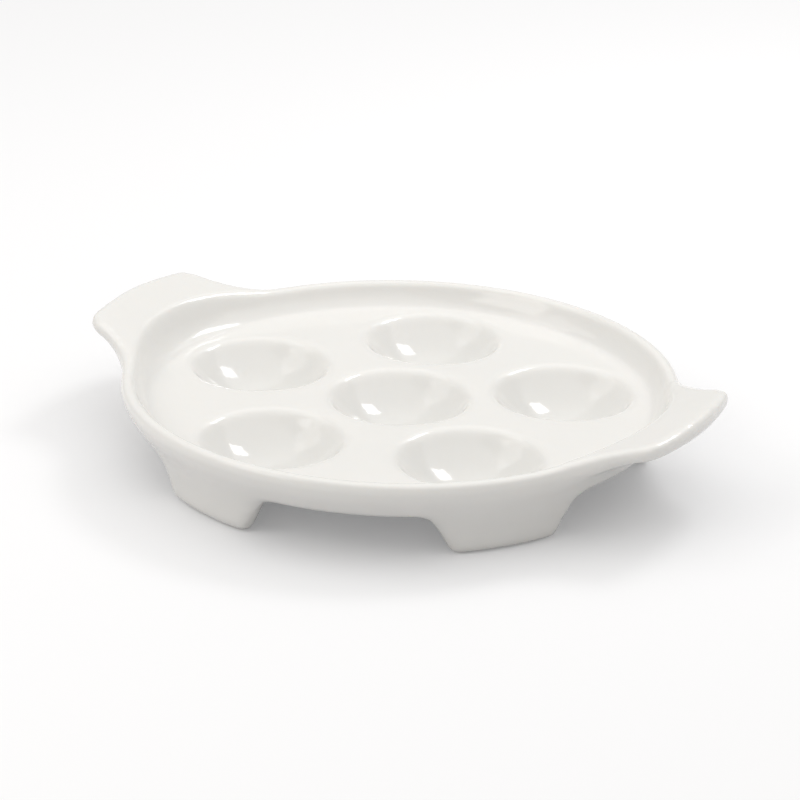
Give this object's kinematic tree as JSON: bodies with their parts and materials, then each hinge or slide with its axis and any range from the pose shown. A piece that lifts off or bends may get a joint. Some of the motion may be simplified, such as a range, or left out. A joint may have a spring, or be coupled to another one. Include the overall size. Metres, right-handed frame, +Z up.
{
  "type": "escargot plate",
  "caption": "Round white porcelain serving plate with hollow bowls in its floor, a rising lug handle on either side and broad feet between low arches.",
  "frame": {"origin": "the middle of the plane that the feet stand on, under the middle bowl", "axes": "+Z is up and +X runs through one handle; the plate's length from handle to handle lies along X"},
  "size_m": [0.1964, 0.165, 0.0325],
  "materials": {
    "porcelain": "smooth glossy white glaze, with bare matt foot rings"
  },
  "bodies": {
    "root": {"plate": "porcelain"}
  },
  "joints": []
}
